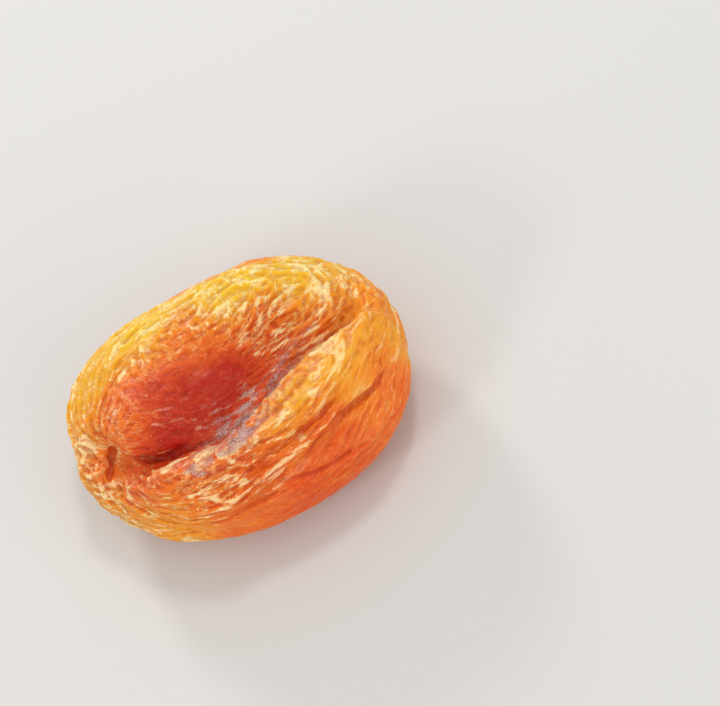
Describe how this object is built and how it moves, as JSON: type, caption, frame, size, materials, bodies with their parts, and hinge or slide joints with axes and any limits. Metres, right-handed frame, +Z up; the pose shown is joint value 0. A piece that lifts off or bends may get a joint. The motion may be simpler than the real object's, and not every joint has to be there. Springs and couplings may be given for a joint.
{
  "type": "dried apricot",
  "caption": "Whole pitted dried apricot, an oval fruit sunk in and folded on its upper side, lying on a small flat spot.",
  "frame": {"origin": "middle of the base of the fruit's box, on the surface that it rests on", "axes": "+X from the stem end to the tip, +Z up through the sunken upper side, and the thick lip of the long fold on the -Y side"},
  "size_m": [0.0426, 0.033, 0.0165],
  "materials": {
    "apricot_skin": "wrinkled, slightly sticky dried skin, half gloss on the crests, yellow at the rim to deep red in the hollow, with a faint pale sugar bloom in the fold"
  },
  "bodies": {
    "root": {"dried_apricot": "apricot_skin"}
  },
  "joints": []
}
